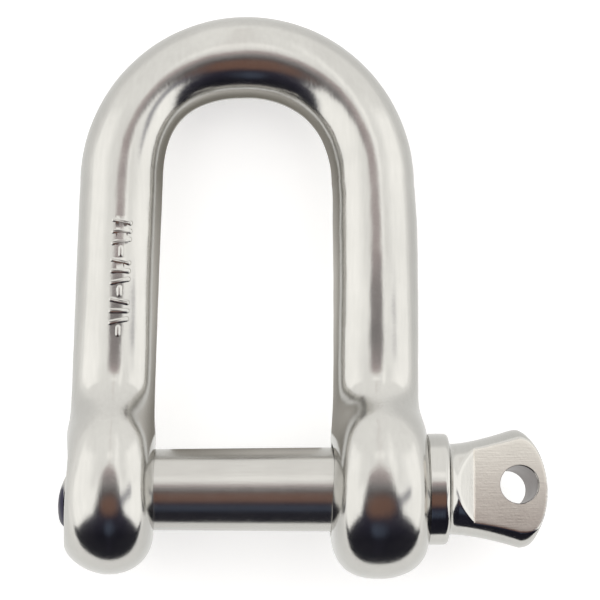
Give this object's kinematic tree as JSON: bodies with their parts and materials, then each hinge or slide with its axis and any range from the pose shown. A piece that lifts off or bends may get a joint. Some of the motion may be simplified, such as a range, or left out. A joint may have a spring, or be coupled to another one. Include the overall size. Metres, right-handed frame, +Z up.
{
  "type": "dee shackle",
  "caption": "Polished stainless dee shackle: U-shaped bow with a plain and a tapped eye, closed by a collared screw pin with a flat drilled wing head.",
  "frame": {"origin": "middle of the footprint on the plane that the shackle lies on; the pin axis is at y -17.58 mm, z 8.2 mm", "axes": "+X along the pin towards its head, +Y from the pin towards the crown, +Z up from the plane it lies on"},
  "size_m": [0.0446, 0.0516, 0.0164],
  "materials": {
    "bow_steel": "mirror-polished stainless steel",
    "pin_steel": "polished stainless steel, ground flats on the wing"
  },
  "bodies": {
    "bow": {"bow": "bow_steel"},
    "shank": {"pin_shank": "pin_steel"},
    "head": {"pin_head": "pin_steel", "pin_thread": "pin_steel"}
  },
  "joints": [
    {"name": "pin_travel", "type": "slide", "parent": "bow", "child": "shank", "axis": [1, 0, 0], "range_m": [0, 0.035]},
    {"name": "pin_turn", "type": "hinge", "parent": "shank", "child": "head", "pos_m": [0, -0.01758, 0.0082], "axis": [1, 0, 0], "range_deg": [0, 10080]}
  ],
  "couplings": [
    {"joint": "pin_turn", "follows": "pin_travel", "rad_per_m": 5026.5}
  ]
}
